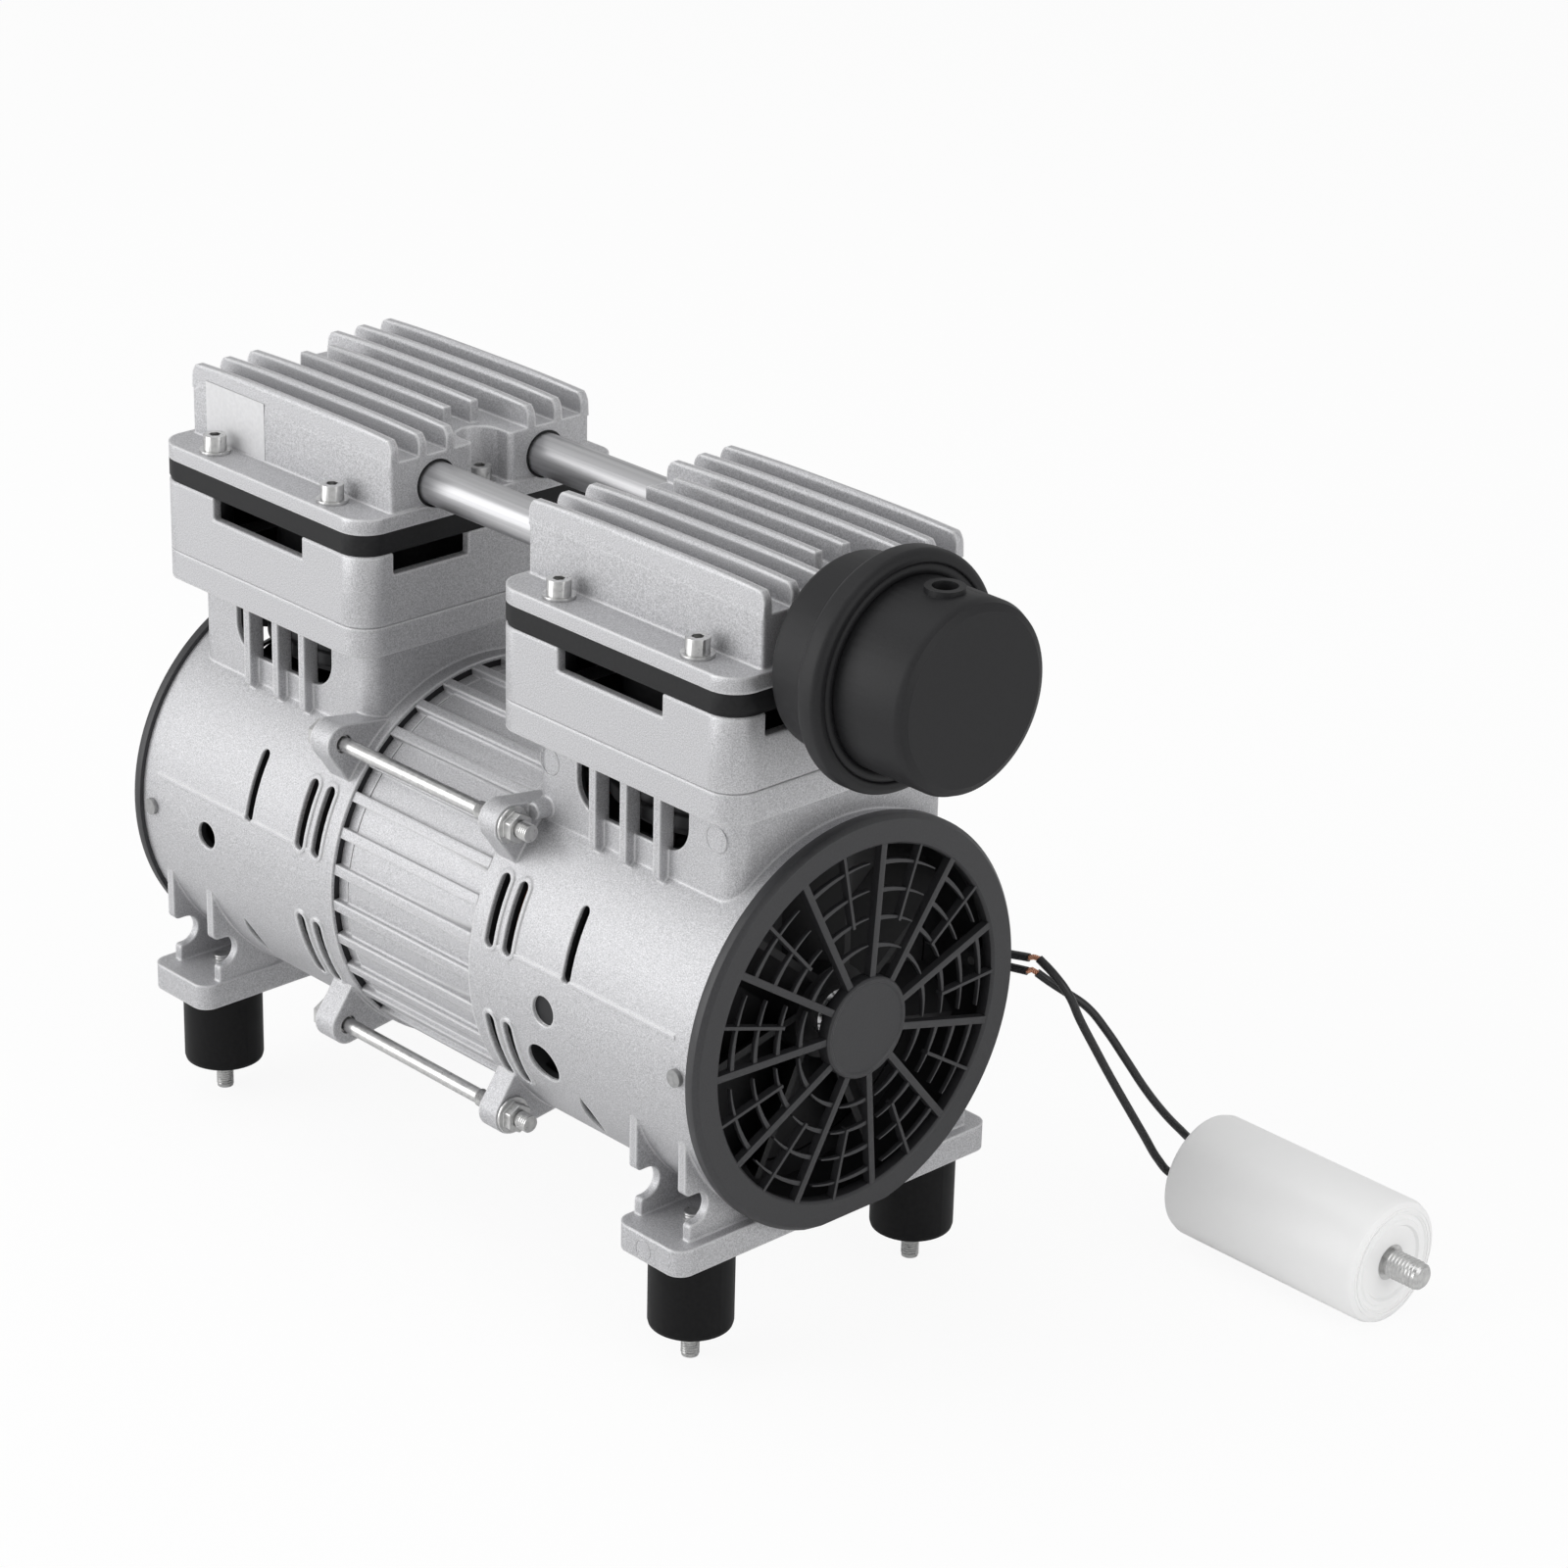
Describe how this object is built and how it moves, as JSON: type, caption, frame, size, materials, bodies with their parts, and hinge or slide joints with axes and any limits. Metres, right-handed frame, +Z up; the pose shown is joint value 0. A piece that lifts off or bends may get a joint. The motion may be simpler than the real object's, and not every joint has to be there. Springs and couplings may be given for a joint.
{
  "type": "oil-free vacuum pump",
  "caption": "Oil-free twin-cylinder piston vacuum pump: finned heads over a ribbed motor, joined by transfer tubes, with a silencer, fan grilles, rubber feet and a run capacitor on two leads.",
  "frame": {"origin": "centre of the rectangle of the four foot studs, at the height of the studs' lower tips, on the surface that the pump stands on", "axes": "+X along the motor shaft towards the silencer, +Z up, +Y away from the side with the tie-rod nuts in the picture, towards the capacitor"},
  "size_m": [0.3757, 0.2042, 0.2508],
  "materials": {
    "silver_paint": "satin metallic paint on die-cast aluminium",
    "lamination": "stacked electrical steel",
    "copper": "enamelled and bare copper",
    "zinc_steel": "bright zinc",
    "bright_steel": "ground",
    "anodised_aluminium": "hard anodised",
    "tube_aluminium": "drawn, satin",
    "cast_aluminium": "as cast",
    "cast_iron": "as cast",
    "gasket_black": "matte",
    "black_coated_plate": "black coated",
    "black_plastic": "fine matte",
    "felt": "felt",
    "cup_material": "filled fluoropolymer",
    "foot_rubber": "matte",
    "lead_insulation": "satin",
    "can_white": "semi-gloss"
  },
  "bodies": {
    "housing": {"housing_left": "silver_paint", "housing_right": "silver_paint", "motor_frame": "silver_paint", "stator_core": "lamination", "stator_windings": "copper", "tie_rods": "zinc_steel", "tie_rod_nuts": "zinc_steel", "cylinder_box_left": "silver_paint", "cylinder_box_right": "silver_paint", "cylinder_sleeve_left": "anodised_aluminium", "cylinder_sleeve_right": "anodised_aluminium", "head_gasket_left": "gasket_black", "head_gasket_right": "gasket_black", "valve_plate_left": "black_coated_plate", "valve_plate_right": "black_coated_plate", "valve_reeds_left": "bright_steel", "valve_reeds_right": "bright_steel", "cylinder_head_left": "silver_paint", "cylinder_head_right": "silver_paint", "head_screws_left": "zinc_steel", "head_screws_right": "zinc_steel", "transfer_tube_front": "tube_aluminium", "transfer_tube_rear": "tube_aluminium", "tube_seals": "gasket_black", "silencer_body": "black_plastic", "silencer_cap": "black_plastic", "silencer_felt": "felt", "grille_left": "black_plastic", "grille_right": "black_plastic", "grille_screws": "zinc_steel", "main_bearing_left": "bright_steel", "main_bearing_right": "bright_steel", "rubber_feet": "foot_rubber", "foot_studs": "zinc_steel", "lead_grommet": "foot_rubber", "motor_leads": "lead_insulation", "lead_splices": "copper", "lead_a": "lead_insulation", "lead_b": "lead_insulation", "capacitor_can": "can_white", "capacitor_stud": "zinc_steel"},
    "rotor": {"shaft": "bright_steel", "rotor_core": "lamination", "rotor_cage": "cast_aluminium", "eccentric_left": "cast_iron", "eccentric_right": "cast_iron", "fan_left": "black_plastic", "fan_right": "black_plastic"},
    "rod_left": {"connecting_rod_left": "cast_aluminium", "big_end_bearing_left": "bright_steel", "piston_cup_left": "cup_material", "piston_clamp_left": "cast_aluminium"},
    "rod_right": {"connecting_rod_right": "cast_aluminium", "big_end_bearing_right": "bright_steel", "piston_cup_right": "cup_material", "piston_clamp_right": "cast_aluminium"}
  },
  "joints": [
    {"name": "rotor_spin", "type": "hinge", "parent": "housing", "child": "rotor", "pos_m": [0, 0, 0.0982], "axis": [1, 0, 0], "continuous": true},
    {"name": "big_end_left", "type": "hinge", "parent": "rotor", "child": "rod_left", "pos_m": [-0.0793, 0, 0.0912], "axis": [1, 0, 0], "continuous": true},
    {"name": "big_end_right", "type": "hinge", "parent": "rotor", "child": "rod_right", "pos_m": [0.0793, 0, 0.1052], "axis": [1, 0, 0], "continuous": true}
  ],
  "couplings": [
    {"joint": "big_end_left", "follows": "rotor_spin", "ratio": -1},
    {"joint": "big_end_right", "follows": "rotor_spin", "ratio": -1}
  ]
}
